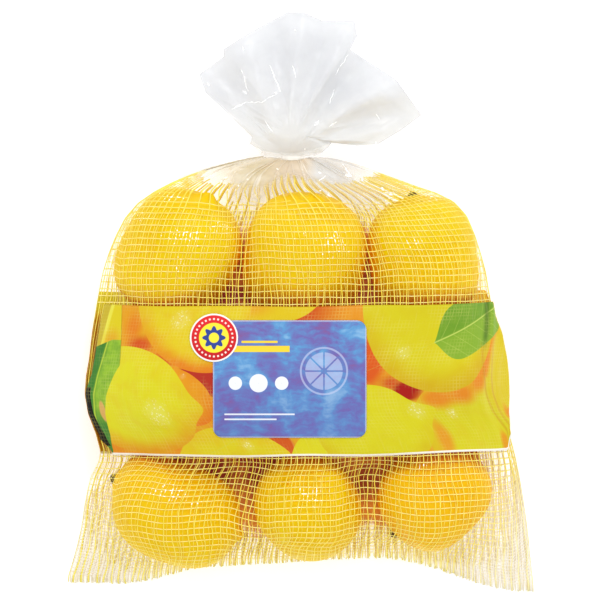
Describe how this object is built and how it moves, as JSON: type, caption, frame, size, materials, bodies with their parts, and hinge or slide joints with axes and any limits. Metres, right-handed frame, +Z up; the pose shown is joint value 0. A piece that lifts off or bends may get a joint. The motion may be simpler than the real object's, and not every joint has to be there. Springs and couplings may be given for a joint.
{
  "type": "net of lemons",
  "caption": "Yellow knitted net of lemons lying on its back, with a printed film band, a blue label, a round badge and a clear film top gathered by a tie.",
  "frame": {"origin": "on the ground, under the middle of the pack's outline as it lies on its back", "axes": "+Z up out of the shown side, +Y from the bottom hem towards the gathered film top, +X to the right of the shown side"},
  "size_m": [0.2344, 0.289, 0.0624],
  "materials": {
    "net": "knitted yellow net over waxed lemons",
    "band_print": "printed glossy film in yellow, orange and green",
    "label_print": "printed glossy film in cloudy blue and violet",
    "badge_print": "printed glossy film, red ring and yellow middle",
    "clear_film": "clear crinkled film",
    "tie_plastic": "translucent white plastic"
  },
  "bodies": {
    "root": {"net_bag": "net", "print_band": "band_print", "blue_label": "label_print", "round_badge": "badge_print", "film_top": "clear_film", "neck_tie": "tie_plastic"}
  },
  "joints": []
}
